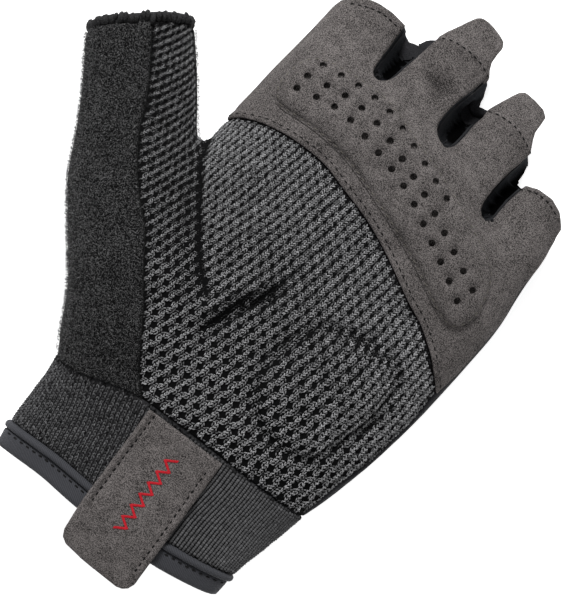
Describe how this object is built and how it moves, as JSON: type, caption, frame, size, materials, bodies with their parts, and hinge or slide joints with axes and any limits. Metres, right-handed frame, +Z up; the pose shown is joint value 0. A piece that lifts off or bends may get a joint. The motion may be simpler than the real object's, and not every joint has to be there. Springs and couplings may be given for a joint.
{
  "type": "weightlifting glove",
  "caption": "Fingerless weightlifting glove, palm up, with a pierced grip pad, knit palm, terry thumb, ribbed cuff and pull tabs.",
  "frame": {"origin": "middle of the palm, on the flat underside of the back panel that the glove lies on", "axes": "+Y from the cuff to the fingers, +Z up out of the palm, +X towards the little finger"},
  "size_m": [0.1547, 0.2009, 0.0322],
  "materials": {
    "suede": "warm grey microfibre suede with a fine nap",
    "pad_suede": "the same suede over foam, puffed between the stitches",
    "knit": "charcoal textured knit",
    "terry": "dark grey fleecy terry",
    "edging": "dark overlocked thread",
    "stretch": "near black stretch cloth",
    "back_cloth": "plain dark cloth",
    "cuff_knit": "dark ribbed knit",
    "binding": "dark twill tape"
  },
  "bodies": {
    "root": {"palm_suede": "suede", "grip_pad": "pad_suede", "fourchette_index_middle": "stretch", "fourchette_middle_ring": "stretch", "fourchette_ring_little": "stretch", "palm_knit": "knit", "thumb_terry": "terry", "thumb_edge": "edging", "back_panel": "back_cloth", "cuff": "cuff_knit", "cuff_piping": "binding", "cuff_binding": "binding", "pull_tab": "suede", "finger_tab_middle": "suede", "finger_tab_ring": "suede"}
  },
  "joints": []
}
